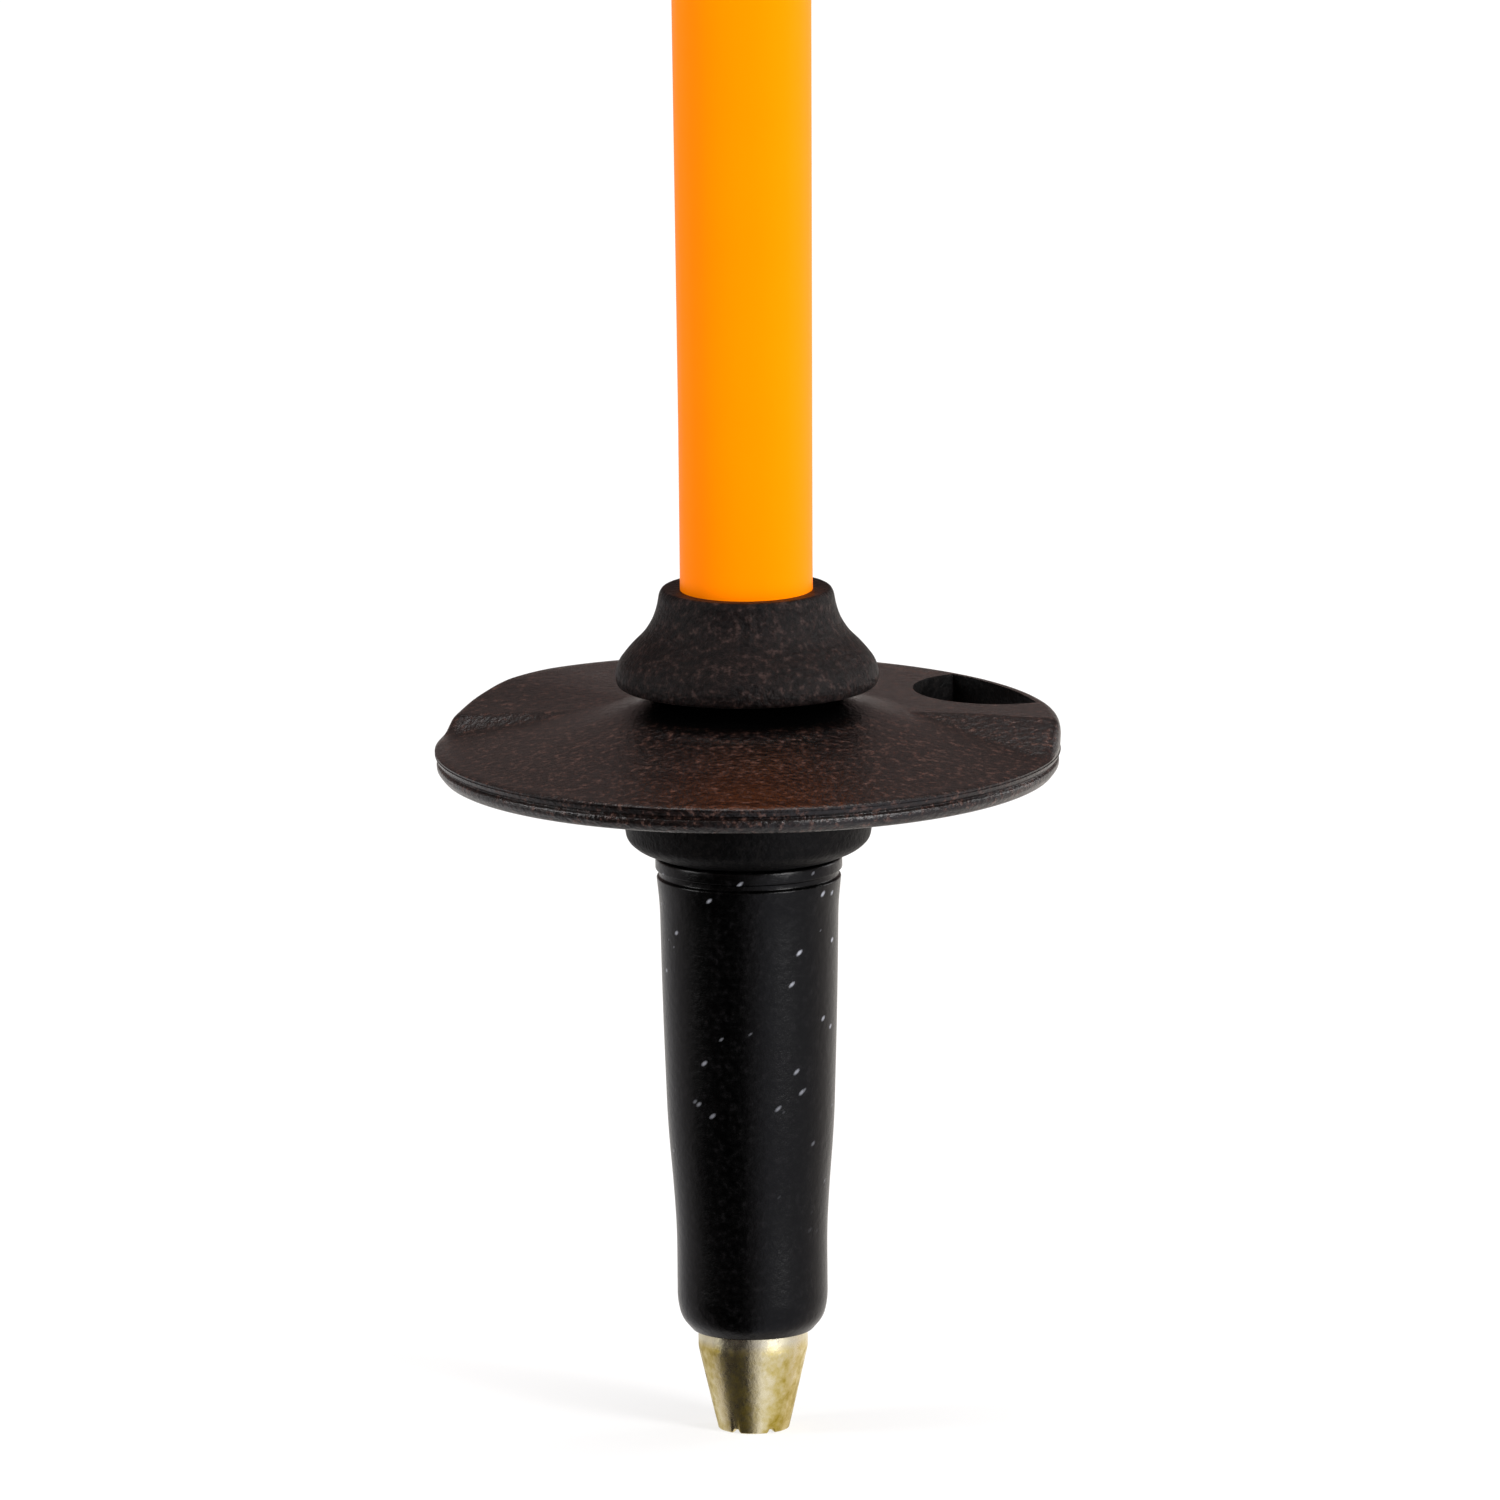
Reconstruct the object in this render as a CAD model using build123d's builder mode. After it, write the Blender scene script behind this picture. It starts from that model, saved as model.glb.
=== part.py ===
"""Fixed-length alpine ski pole: tip, ferrule, basket, tapered shaft, grip and wrist strap.

Millimetres. The origin is where the point touches the ground, +Z runs up the pole,
+X is the front of the grip and -X the side where the strap hangs.
"""

from build123d import *
import math
import os

os.makedirs("parts", exist_ok=True)

# driving dimensions: shaft
SHAFT_FOOT_Z = 30.0
SHAFT_TOP_Z = 1176.0
SHAFT_LOW_R = 6.0
SHAFT_HIGH_R = 9.0
TAPER_START_Z = 80.0
TAPER_END_Z = 549.0
SHAFT_WALL = 1.0

# driving dimensions: point and ferrule
TIP_R = 3.2
TIP_BASE_R = 4.95
TIP_CONE_Z = 7.6
FERRULE_FOOT_Z = 9.2
INSERT_R = 1.7
INSERT_LENGTH = 9.0
SHANK_R = 2.6
BARB_R = 3.2
SHANK_TOP_Z = 24.0
SHOULDER_Z = 53.0
FOOT_R = 6.8
FOOT_Z = 12.0
MOUTH_R = 5.2
RING_R = 8.45
NECK_R = 7.3
NECK_TOP_Z = 72.0

# driving dimensions: basket and collar
RUNNING_GAP = 0.05
AXIAL_GAP = 0.15
BASKET_R = 28.3
RIM_Z = 62.66
HUB_R = 11.4
HUB_TOP_Z = 70.5
BOSS_R = 8.2
PANEL_Z = 65.85
PANEL_SLOPE = 0.0175
PANEL_START = 13.0
PANEL_END = 168.0
RAMP_START = 140.0
RAMP_ANGLE = 10.5
CREASE_ANGLE = 163.0
HOLE_X = 22.4
HOLE_Y = 13.1
HOLE_R = 7.4
RIM_INNER_R = 27.0
COLLAR_FOOT_Z = 68.7
COLLAR_TOP_Z = 77.6
CAVITY_R = 10.6

# driving dimensions: grip
GRIP_FOOT_Z = 1066.0
HEAD_FOOT_Z = 1156.0
CAP_FOOT_Z = 1192.0
GRIP_TOP_Z = 1200.0
LINER_R = 11.2
PLUG_FOOT_Z = 1148.0
SCREW_R = 2.0
SCREW_HEAD_R = 4.2
SCREW_HEAD_Z = 1193.0
SCREW_FOOT_Z = 1154.0

SLEEVE_STEPS = 18
REST_FLARE = 5.0
REST_Z = 1070.0
REST_SPREAD = 9.0
WAVE_HEIGHT = 1.4
WAVE_CREST_Z = 1097.0
WAVE_PITCH = 22.0

# driving dimensions: strap
PIN_X = -15.0
PIN_Z = 1180.0
PIN_R = 2.0
PIN_LENGTH = 30.0
EAR_R = 8.5
EAR_INNER_Y = 11.5
EAR_OUTER_Y = 16.0
SLOT_OUT_X = -24.0
SLOT_BACK_X = -11.1
SLOT_FOOT_Z = 1169.0
MOUTH_RING_R = 12.5
MOUTH_RING_LENGTH = 6.0
WEB_THICKNESS = 1.6
WEB_WIDTH = 20.0
NECK_ANGLE = 37.0
NECK_LENGTH = 44.0
SLIDER_START = 13.0
SLIDER_LENGTH = 8.0
PAD_THICKNESS = 3.0
PAD_TOP_Z = 1065.0
LOOP_TOP_R = 3.0
LOOP_FOOT_R = 29.0
LOOP_FOOT_X = -62.0
LOOP_FOOT_Z = 1008.0


def finish(builder, label):
    """Labels the piece and writes it."""
    builder.part.label = label
    export_step(builder.part, f"parts/{label}.step")


def ellipse_stack(sections):
    """Returns one ellipse per (height, centre x, half length, half width)."""
    stack = []
    for height, centre_x, half_length, half_width in sections:
        with BuildSketch(Plane.XY.offset(height)) as section:
            with Locations((centre_x, 0)):
                Ellipse(half_length, half_width)
        stack.append(section.sketch.face())
    return stack


# hard metal insert with a hollow crown, pressed in the point
with BuildPart() as carbide_insert:
    Cylinder(INSERT_R, INSERT_LENGTH, align=(Align.CENTER, Align.CENTER, Align.MIN))
    with Locations((0, 0, -2.6)):
        Sphere(3.0, mode=Mode.SUBTRACT)
finish(carbide_insert, "carbide_insert")

# plated steel point: cone, straight collar and a barbed shank
with BuildPart() as tip_point:
    with BuildSketch(Plane.XZ):
        with BuildLine():
            Polyline(
                (0, INSERT_LENGTH), (INSERT_R, INSERT_LENGTH), (INSERT_R, 0), (TIP_R, 0),
                (TIP_BASE_R, TIP_CONE_Z), (TIP_BASE_R, FERRULE_FOOT_Z + 0.4),
                (SHANK_R, FERRULE_FOOT_Z + 0.4), (SHANK_R, 13.0), (BARB_R, 13.8),
                (SHANK_R, 16.0), (SHANK_R, 17.0), (BARB_R, 17.8), (SHANK_R, 20.0),
                (SHANK_R, SHANK_TOP_Z), (0, SHANK_TOP_Z), close=True,
            )
        make_face()
    revolve(axis=Axis.Z)
    # six shallow notches in the rim that bites the ice
    with PolarLocations(TIP_R, 6):
        Box(1.6, 0.8, 0.7, mode=Mode.SUBTRACT)
finish(tip_point, "tip_point")

# moulded ferrule: rounded mouth, long taper, groove, shoulder ring and the basket's neck
with BuildPart() as ferrule:
    with BuildSketch(Plane.XZ):
        with BuildLine():
            rounded = TangentArc((FOOT_R, FOOT_Z), (MOUTH_R, FERRULE_FOOT_Z), tangent=(0, -1))
            mouth = Line(rounded @ 1, (TIP_BASE_R, FERRULE_FOOT_Z))
            Polyline(
                rounded @ 0, (FOOT_R, 18.5), (7.06, 22.7), (7.53, 28.2), (7.9, 39.3), (8.08, 48.5),
                (8.35, 51.1), (8.1, 51.25), (8.1, 51.7), (RING_R, 51.85), (RING_R, SHOULDER_Z),
                (NECK_R, SHOULDER_Z), (NECK_R, NECK_TOP_Z), (SHAFT_LOW_R, NECK_TOP_Z),
                (SHAFT_LOW_R, SHAFT_FOOT_Z), (0, SHAFT_FOOT_Z), (0, SHANK_TOP_Z),
                (SHANK_R, SHANK_TOP_Z), (SHANK_R, 20.0), (BARB_R, 17.8), (SHANK_R, 17.0),
                (SHANK_R, 16.0), (BARB_R, 13.8), (SHANK_R, 13.0), (SHANK_R, FERRULE_FOOT_Z + 0.4),
                (TIP_BASE_R, FERRULE_FOOT_Z + 0.4), mouth @ 1,
            )
        make_face()
    revolve(axis=Axis.Z)
finish(ferrule, "ferrule")

# raised panel of the disc's rear half, its top a slanted plane with a ramp at one end
with BuildPart() as panel:
    with BuildSketch(Plane.XY.offset(RIM_Z - 1.0)):
        with BuildLine():
            sweep_angle = PANEL_END - PANEL_START
            outer = CenterArc((0, 0), BASKET_R - 0.2, PANEL_START, sweep_angle)
            inner = CenterArc((0, 0), HUB_R, PANEL_START, sweep_angle)
            Line(outer @ 0, inner @ 0)
            Line(outer @ 1, inner @ 1)
        make_face()
    extrude(amount=6.0)
    slant = Plane(origin=(0, 0, PANEL_Z), z_dir=(PANEL_SLOPE, 0, 1))
    split(bisect_by=slant, keep=Keep.BOTTOM)
    ramp_turn = math.radians(RAMP_START)
    ramp_fall = math.tan(math.radians(RAMP_ANGLE))
    ramp = Plane(
        origin=(20 * math.cos(ramp_turn), 20 * math.sin(ramp_turn), PANEL_Z + 0.27),
        z_dir=(-math.sin(ramp_turn) * ramp_fall, math.cos(ramp_turn) * ramp_fall, 1),
    )
    split(bisect_by=ramp, keep=Keep.BOTTOM)
    fillet(panel.edges().filter_by(GeomType.LINE, reverse=True).group_by(Axis.Z)[-1], 0.6)

# basket: disc with a dished underside and ribs, hub, saucer and the raised panel
with BuildPart() as basket:
    with BuildSketch(Plane.XZ):
        with BuildLine():
            bore = Line((NECK_R + RUNNING_GAP, HUB_TOP_Z), (NECK_R + RUNNING_GAP, SHOULDER_Z + AXIAL_GAP))
            bottom = Line(bore @ 1, (8.5, SHOULDER_Z + AXIAL_GAP))
            saucer = ThreePointArc(bottom @ 1, (10.1, 53.85), (11.0, 54.6))
            Polyline(
                saucer @ 1, (HUB_R, 57.0), (HUB_R, 61.6), (13.5, 62.4), (25.6, 60.9), (25.9, 60.5),
                (27.5, 60.5), (28.1, 61.3), (28.1, 61.8), (27.85, 62.0), (28.05, 62.2),
                (BASKET_R, RIM_Z), (26.8, 63.1), (20.0, 64.35), (13.5, 65.9), (11.2, 66.5),
                (BOSS_R, 66.8), (BOSS_R, HUB_TOP_Z), bore @ 0,
            )
        make_face()
    revolve(axis=Axis.Z)
    add(panel.part)
    # through hole behind the rim band
    with BuildSketch(Plane.XY.offset(SHOULDER_Z)):
        with Locations((HOLE_X, HOLE_Y)):
            Circle(HOLE_R)
        Circle(RIM_INNER_R, mode=Mode.INTERSECT)
    extrude(amount=20, mode=Mode.SUBTRACT)
    # thin crease lines along one diameter
    for angle in (CREASE_ANGLE, CREASE_ANGLE + 180):
        turned = Plane.XY.offset(RIM_Z + 0.9).rotated((0, 0, angle))
        with Locations(turned):
            with Locations((20, 0, 1.0)):
                Box(13, 0.35, 2.4, mode=Mode.SUBTRACT)
    # stiffening ribs under the disc
    for number in range(8):
        with Locations(Plane.XY.rotated((0, 0, 45 * number + 5))):
            with Locations((18, 0, 61.6)):
                Box(14.4, 1.2, 1.8)
finish(basket, "basket")

# flared collar that traps the basket: skirt, waist, top ring and a cavity over the hub
with BuildPart() as basket_collar:
    with BuildSketch(Plane.XZ):
        with BuildLine():
            Polyline(
                (CAVITY_R, COLLAR_FOOT_Z), (11.8, COLLAR_FOOT_Z), (11.9, 69.8), (11.6, 70.8),
                (11.19, 71.5), (10.56, 72.2), (9.79, 73.0), (9.07, 73.7), (8.57, 74.5),
                (8.26, 75.2), (8.03, 75.9), (7.9, COLLAR_TOP_Z - 0.5),
                (7.6, COLLAR_TOP_Z), (SHAFT_LOW_R, COLLAR_TOP_Z),
                (SHAFT_LOW_R, NECK_TOP_Z), (NECK_R, NECK_TOP_Z), (NECK_R, HUB_TOP_Z + AXIAL_GAP),
                (CAVITY_R, HUB_TOP_Z + AXIAL_GAP), close=True,
            )
        make_face()
    revolve(axis=Axis.Z)
finish(basket_collar, "basket_collar")

# aluminium shaft: straight foot, long taper, straight top
with BuildPart() as shaft:
    with BuildSketch(Plane.XZ):
        with BuildLine():
            Polyline(
                (SHAFT_LOW_R, SHAFT_FOOT_Z), (SHAFT_LOW_R, TAPER_START_Z),
                (SHAFT_HIGH_R, TAPER_END_Z), (SHAFT_HIGH_R, SHAFT_TOP_Z),
                (SHAFT_HIGH_R - SHAFT_WALL, SHAFT_TOP_Z), (SHAFT_HIGH_R - SHAFT_WALL, TAPER_END_Z),
                (SHAFT_LOW_R - SHAFT_WALL, TAPER_START_Z), (SHAFT_LOW_R - SHAFT_WALL, SHAFT_FOOT_Z),
                close=True,
            )
        make_face()
    revolve(axis=Axis.Z)
finish(shaft, "shaft")

# bung in the top of the shaft, bored for the screw
with BuildPart() as shaft_top_plug:
    with BuildSketch(Plane.XY.offset(PLUG_FOOT_Z)):
        Circle(SHAFT_HIGH_R - SHAFT_WALL)
    extrude(amount=SHAFT_TOP_Z - PLUG_FOOT_Z)
    with BuildSketch(Plane.XY.offset(SCREW_FOOT_Z)):
        Circle(SCREW_R)
    extrude(amount=SHAFT_TOP_Z - SCREW_FOOT_Z, mode=Mode.SUBTRACT)
finish(shaft_top_plug, "shaft_top_plug")

# hard liner between the shaft and the soft sleeve
with BuildPart() as grip_liner:
    with BuildSketch(Plane.XY.offset(GRIP_FOOT_Z)):
        Circle(LINER_R)
        Circle(SHAFT_HIGH_R, mode=Mode.SUBTRACT)
    extrude(amount=HEAD_FOOT_Z - GRIP_FOOT_Z)
finish(grip_liner, "grip_liner")

# soft sleeve: hand rest at the foot, finger waves in front
sleeve_sections = []
for step in range(SLEEVE_STEPS + 1):
    height = GRIP_FOOT_Z + (HEAD_FOOT_Z - GRIP_FOOT_Z) * step / SLEEVE_STEPS
    rest = REST_FLARE * math.exp(-(((height - REST_Z) / REST_SPREAD) ** 2))
    wave = WAVE_HEIGHT * math.cos(2 * math.pi * (height - WAVE_CREST_Z) / WAVE_PITCH)
    sleeve_sections.append((height, 1 + wave / 2, 15.8 + rest + wave / 2, 13.8 + 0.7 * rest))
with BuildPart() as grip_sleeve:
    loft(ellipse_stack(sleeve_sections), ruled=True)
    with BuildSketch(Plane.XY.offset(GRIP_FOOT_Z - 1)):
        Circle(LINER_R)
    extrude(amount=HEAD_FOOT_Z - GRIP_FOOT_Z + 2, mode=Mode.SUBTRACT)
finish(grip_sleeve, "grip_sleeve")

# ring that closes the mouth of the grip
with BuildPart() as grip_mouth_ring:
    with BuildSketch(Plane.XY.offset(GRIP_FOOT_Z - MOUTH_RING_LENGTH)):
        Circle(MOUTH_RING_R)
        Circle(SHAFT_HIGH_R, mode=Mode.SUBTRACT)
    extrude(amount=MOUTH_RING_LENGTH)
    foot_edges = grip_mouth_ring.edges().filter_by(GeomType.CIRCLE).group_by(Axis.Z)[0]
    fillet(foot_edges.sort_by(SortBy.RADIUS)[-1], 1.5)
finish(grip_mouth_ring, "grip_mouth_ring")

# hard head: lofted block on the shaft, with two round ears behind it for the pin
with BuildPart() as grip_head:
    loft(ellipse_stack([
        (HEAD_FOOT_Z, 1, 17, 14.5), (1170, 3, 16.5, 16), (1182, 5, 16, 16), (CAP_FOOT_Z, 5, 14, 14),
    ]))
    for side in (-1, 1):
        with BuildSketch(Plane.XZ.offset(-side * (EAR_OUTER_Y + EAR_INNER_Y) / 2)):
            with Locations((PIN_X, PIN_Z)):
                Circle(EAR_R)
            with Locations((PIN_X + 9, PIN_Z)):
                Rectangle(18, 2 * EAR_R)
        extrude(amount=(EAR_OUTER_Y - EAR_INNER_Y) / 2, both=True)
    # slot for the strap's eye, as deep as it needs and no deeper, so a wall hides the shaft
    with Locations((SLOT_BACK_X, 0, SLOT_FOOT_Z)):
        Box(SLOT_BACK_X - SLOT_OUT_X, 2 * EAR_INNER_Y, CAP_FOOT_Z - SLOT_FOOT_Z,
            align=(Align.MAX, Align.CENTER, Align.MIN), mode=Mode.SUBTRACT)
    with Locations((PIN_X, 0, PIN_Z)):
        Cylinder(PIN_R, PIN_LENGTH, rotation=(90, 0, 0), mode=Mode.SUBTRACT)
    with BuildSketch(Plane.XY.offset(HEAD_FOOT_Z)):
        Circle(SHAFT_HIGH_R)
    extrude(amount=SHAFT_TOP_Z - HEAD_FOOT_Z, mode=Mode.SUBTRACT)
    with BuildSketch(Plane.XY.offset(SHAFT_TOP_Z)):
        Circle(SCREW_R)
    extrude(amount=CAP_FOOT_Z - SHAFT_TOP_Z, mode=Mode.SUBTRACT)
finish(grip_head, "grip_head")

# cap on the head, counterbored for the screw
with BuildPart() as grip_cap:
    loft(ellipse_stack([(CAP_FOOT_Z, 5, 14, 14), (1197, 5, 13, 13), (GRIP_TOP_Z, 5, 9.5, 9.5)]))
    with BuildSketch(Plane.XY.offset(CAP_FOOT_Z)):
        Circle(SCREW_R)
    extrude(amount=SCREW_HEAD_Z - CAP_FOOT_Z, mode=Mode.SUBTRACT)
    with BuildSketch(Plane.XY.offset(SCREW_HEAD_Z)):
        Circle(SCREW_HEAD_R)
    extrude(amount=GRIP_TOP_Z - SCREW_HEAD_Z, mode=Mode.SUBTRACT)
finish(grip_cap, "grip_cap")

# pan-head screw down into the bung
with BuildPart() as cap_screw:
    with BuildSketch(Plane.XY.offset(SCREW_FOOT_Z)):
        Circle(SCREW_R)
    extrude(amount=SCREW_HEAD_Z - SCREW_FOOT_Z)
    with BuildSketch(Plane.XY.offset(SCREW_HEAD_Z)):
        Circle(SCREW_HEAD_R)
    extrude(amount=2.5)
    with Locations((0, 0, SCREW_HEAD_Z + 2.2)):
        Box(5.0, 0.9, 1.6, mode=Mode.SUBTRACT)
        Box(0.9, 5.0, 1.6, mode=Mode.SUBTRACT)
finish(cap_screw, "cap_screw")

# round plug over the screw
with BuildPart() as screw_cover:
    with BuildSketch(Plane.XY.offset(SCREW_HEAD_Z + 3.5)):
        Circle(SCREW_HEAD_R)
    extrude(amount=2.6)
    fillet(screw_cover.edges().filter_by(GeomType.CIRCLE).group_by(Axis.Z)[-1], 0.5)
finish(screw_cover, "screw_cover")

# pin across the ears
with BuildPart() as strap_pin:
    with Locations((PIN_X, 0, PIN_Z)):
        Cylinder(PIN_R, PIN_LENGTH, rotation=(90, 0, 0))
finish(strap_pin, "strap_pin")

# strap: eye round the pin, doubled neck and a hanging loop
neck_turn = math.radians(NECK_ANGLE)
neck_dir = (-math.cos(neck_turn), -math.sin(neck_turn))
neck_end = (PIN_X + NECK_LENGTH * neck_dir[0], PIN_Z + NECK_LENGTH * neck_dir[1])
eye_gap_r = PIN_R + RUNNING_GAP


def loop_outline(inset):
    """Returns the hanging drop's outline in the sketch's own plane, moved inwards by the inset."""
    with BuildSketch() as outline:
        with Locations(neck_end):
            Circle(LOOP_TOP_R - inset)
        with Locations((LOOP_FOOT_X, LOOP_FOOT_Z)):
            Circle(LOOP_FOOT_R - inset)
        make_hull()
    return outline.sketch_local


with BuildPart() as strap_webbing:
    with BuildSketch(Plane.XZ):
        add(loop_outline(0))
        add(loop_outline(WEB_THICKNESS), mode=Mode.SUBTRACT)
        with Locations(Location((PIN_X + neck_dir[0] * NECK_LENGTH / 2,
                                 PIN_Z + neck_dir[1] * NECK_LENGTH / 2), NECK_ANGLE)):
            Rectangle(NECK_LENGTH, 2 * WEB_THICKNESS)
        with Locations((PIN_X, PIN_Z)):
            Circle(eye_gap_r + WEB_THICKNESS)
            Circle(eye_gap_r, mode=Mode.SUBTRACT)
    extrude(amount=WEB_WIDTH / 2, both=True)
finish(strap_webbing, "strap_webbing")


def pad_void():
    """Returns the hand's room inside the lining."""
    with BuildSketch() as room:
        with Locations(neck_end):
            Circle(0.5)
        with Locations((LOOP_FOOT_X, LOOP_FOOT_Z)):
            Circle(LOOP_FOOT_R - WEB_THICKNESS - PAD_THICKNESS)
        make_hull()
    return room.sketch_local


# soft lining inside the foot of the loop
with BuildPart() as strap_pad:
    with BuildSketch(Plane.XZ):
        add(loop_outline(WEB_THICKNESS))
        with Locations((LOOP_FOOT_X, PAD_TOP_Z)):
            Rectangle(150, 150, align=(Align.CENTER, Align.MAX), mode=Mode.INTERSECT)
        add(pad_void(), mode=Mode.SUBTRACT)
    extrude(amount=WEB_WIDTH / 2, both=True)
finish(strap_pad, "strap_pad")

# slider: a flat ring round both layers of the neck
with BuildPart() as strap_slider:
    middle = SLIDER_START + SLIDER_LENGTH / 2
    seat = Location(
        (PIN_X + neck_dir[0] * middle, 0, PIN_Z + neck_dir[1] * middle), (0, -NECK_ANGLE, 0)
    )
    with Locations(seat):
        Box(SLIDER_LENGTH, WEB_WIDTH + 5, 2 * WEB_THICKNESS + 3.4)
        Box(SLIDER_LENGTH + 2, WEB_WIDTH + 0.6, 2 * WEB_THICKNESS + 0.6, mode=Mode.SUBTRACT)
    fillet(strap_slider.edges().filter_by(Axis.Y), 0.4)
finish(strap_slider, "strap_slider")
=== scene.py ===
"""Ski pole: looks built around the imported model. Metres, +Z up the pole, the point at the origin."""

import math

import bmesh
import bpy
from mathutils import Matrix, Vector


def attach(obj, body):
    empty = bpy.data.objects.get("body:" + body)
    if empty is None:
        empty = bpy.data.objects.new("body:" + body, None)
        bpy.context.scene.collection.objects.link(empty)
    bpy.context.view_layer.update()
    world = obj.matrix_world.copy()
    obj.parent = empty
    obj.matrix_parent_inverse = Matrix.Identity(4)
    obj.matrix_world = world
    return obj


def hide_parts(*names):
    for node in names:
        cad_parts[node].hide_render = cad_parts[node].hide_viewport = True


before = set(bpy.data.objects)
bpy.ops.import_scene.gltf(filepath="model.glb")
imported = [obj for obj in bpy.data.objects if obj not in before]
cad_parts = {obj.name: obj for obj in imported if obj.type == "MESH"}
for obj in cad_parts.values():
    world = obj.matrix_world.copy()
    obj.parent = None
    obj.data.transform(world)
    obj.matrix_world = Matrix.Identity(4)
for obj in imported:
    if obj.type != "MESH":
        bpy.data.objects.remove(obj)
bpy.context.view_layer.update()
MM = 0.001

# ---- camera
# A long lens a little above the basket, framed on the lower end of the pole. It leans a
# fraction of a degree, as a pole held by hand does.
VIEW_ELEVATION = math.radians(11.5)
VIEW_ROLL = math.radians(0.52)
VIEW_WIDTH = 0.1354
CAMERA_DISTANCE = 3.0
SENSOR_MM = 36.0
AIM = Vector((0.0002, 0, 0.0626))
look = Vector((0, math.cos(VIEW_ELEVATION), -math.sin(VIEW_ELEVATION)))
roll = Matrix.Rotation(-VIEW_ROLL, 3, "Z").to_quaternion()
camera_data = bpy.data.cameras.new("camera")
camera_data.sensor_width = SENSOR_MM
camera_data.lens = SENSOR_MM * CAMERA_DISTANCE / VIEW_WIDTH
camera_data.clip_start = 0.01
camera_data.clip_end = 50
camera = bpy.data.objects.new("camera", camera_data)
camera.location = AIM - look * CAMERA_DISTANCE
camera.rotation_mode = "QUATERNION"
camera.rotation_quaternion = look.to_track_quat("-Z", "Y") @ roll
bpy.context.scene.collection.objects.link(camera)
bpy.context.scene.camera = camera

# ---- studio
# Three large soft boxes stand round the pole and one hangs over it. Below the horizon the
# room has pale cards and dark cloths, which upright glossy faces mirror as bands.
ROOM_LIGHT = 0.20
ROOM_TINT = (1.0, 0.76, 0.72)
CARD_LIGHT = 1.15
HORIZON_HALF = 0.06
ROOM_CARDS = [
    # (share of the way round the room, colour)
    (0.0, "#F4F0EA"), (0.12, "#D8D6D8"), (0.23, "#B8B2B4"), (0.28, "#2E2A2A"), (0.46, "#141214"),
    (0.51, "#A6A2A6"), (0.57, "#E8E8F4"), (0.72, "#D6D4DC"), (0.82, "#D8CFCC"), (0.9, "#F4EEE8"),
]
WHITE = (1, 1, 1, 1)
LAMP_AIM_Z = 0.3
OVERHEAD_SIZE = 2.4
OVERHEAD_Z = 3.4
OVERHEAD_WATTS = 70


def linear(hex_colour):
    """Turns an sRGB hex colour to the linear values that a shader takes."""
    values = []
    for place in (1, 3, 5):
        c = int(hex_colour[place:place + 2], 16) / 255
        values.append(c / 12.92 if c <= 0.04045 else ((c + 0.055) / 1.055) ** 2.4)
    return (*values, 1.0)


def add_node(owner, kind, settings=None, links=None, **inputs):
    """Adds a node to a material or a node tree, with its settings, input values and links."""
    tree = getattr(owner, "node_tree", owner)
    node = tree.nodes.new(kind)
    for key, value in (settings or {}).items():
        setattr(node, key, value)
    for key, value in inputs.items():
        node.inputs[key.replace("_", " ")].default_value = value
    for key, value in (links or {}).items():
        if isinstance(value, bpy.types.NodeSocket):
            tree.links.new(value, node.inputs[key])
        else:
            node.inputs[key].default_value = value
    return node


def colour_steps(node, steps):
    """Sets a colour ramp's stops from (place, hex colour) pairs."""
    ramp = node.color_ramp
    while len(ramp.elements) < len(steps):
        ramp.elements.new(0.5)
    for element, (place, hex_colour) in zip(ramp.elements, steps):
        element.position = place
        element.color = linear(hex_colour)


def mix_colours(owner, factor, first, second):
    """Adds a colour mix and returns its result. Its colour inputs are 6 and 7, its output 2."""
    mixed = add_node(owner, "ShaderNodeMix", {"data_type": "RGBA"},
                     {"Factor": factor, 6: first, 7: second})
    return mixed.outputs[2]


bpy.context.scene.view_settings.view_transform = "Standard"
world = bpy.data.worlds.new("studio")
world.use_nodes = True
seen = add_node(world, "ShaderNodeLightPath")
heading = add_node(world, "ShaderNodeTexCoord")
axes = add_node(world, "ShaderNodeSeparateXYZ", links={"Vector": heading.outputs["Generated"]})
forward = add_node(world, "ShaderNodeMath", {"operation": "MULTIPLY"}, {0: axes.outputs["Y"], 1: -1.0})
turn = add_node(world, "ShaderNodeMath", {"operation": "ARCTAN2"},
                {0: axes.outputs["X"], 1: forward.outputs["Value"]})
round_room = add_node(world, "ShaderNodeMapRange", links={"Value": turn.outputs["Value"]},
                      From_Min=-math.pi, From_Max=math.pi)
cards = add_node(world, "ShaderNodeValToRGB", links={"Fac": round_room.outputs["Result"]})
colour_steps(cards, ROOM_CARDS)
card_glow = add_node(world, "ShaderNodeVectorMath", {"operation": "SCALE"},
                     {0: cards.outputs["Color"], "Scale": CARD_LIGHT})
above = add_node(world, "ShaderNodeMapRange", links={"Value": axes.outputs["Z"]},
                 From_Min=-HORIZON_HALF, From_Max=HORIZON_HALF)
upper_room = (*(ROOM_LIGHT * share for share in ROOM_TINT), 1)
room = mix_colours(world, above.outputs["Result"], card_glow.outputs["Vector"], upper_room)
backdrop = mix_colours(world, seen.outputs["Is Camera Ray"], room, WHITE)
world.node_tree.links.new(backdrop, world.node_tree.nodes["Background"].inputs["Color"])
bpy.context.scene.world = world
SOFT_BOXES = {
    # name: (degrees round from the camera, distance, height, width, tall, watts)
    "front_right": (46, 2.2, 0.8, 0.6, 1.6, 70),
    "rear_right": (118, 2.2, 0.8, 0.6, 1.6, 18),
    "left": (-78, 2.2, 0.8, 0.5, 1.6, 33),
}
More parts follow.
